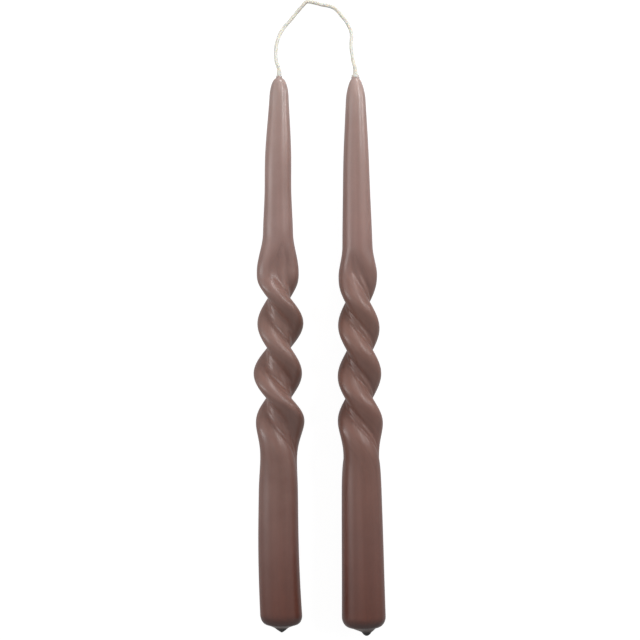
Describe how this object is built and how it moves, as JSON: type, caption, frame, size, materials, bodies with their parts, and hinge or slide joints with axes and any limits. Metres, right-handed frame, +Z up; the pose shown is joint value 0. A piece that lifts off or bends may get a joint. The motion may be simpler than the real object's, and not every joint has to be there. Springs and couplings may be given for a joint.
{
  "type": "twisted candle pair",
  "caption": "Hand-dipped taper candles with a flattened, twisted middle, lying side by side and still joined at the tips by the uncut cotton wick.",
  "frame": {"origin": "on the table, under the middle of the two candles", "axes": "+Y from the bases to the tips, +Z up from the table, +X from the left candle to the right one"},
  "size_m": [0.0702, 0.3405, 0.0267],
  "materials": {
    "dyed_wax": "dusty mauve-brown candle wax, semi-gloss, hand dipped",
    "undyed_wax": "undyed off-white candle wax, satin",
    "cotton_wick": "braided cotton wick primed with wax, off-white"
  },
  "bodies": {
    "free_wick": {"wick_loop": "cotton_wick"},
    "left_candle": {"left_wax_coat": "dyed_wax", "left_wax_core": "undyed_wax", "left_wick_core": "cotton_wick"},
    "right_candle": {"right_wax_coat": "dyed_wax", "right_wax_core": "undyed_wax", "right_wick_core": "cotton_wick"}
  },
  "joints": [
    {"name": "left_swing", "type": "hinge", "parent": "free_wick", "child": "left_candle", "pos_m": [-0.02162, 0.14979, 0.01532], "axis": [0, 0, -1], "range_deg": [-2, 90]},
    {"name": "right_swing", "type": "hinge", "parent": "free_wick", "child": "right_candle", "pos_m": [0.01888, 0.14979, 0.01226], "axis": [0, 0, 1], "range_deg": [-2, 90]}
  ]
}
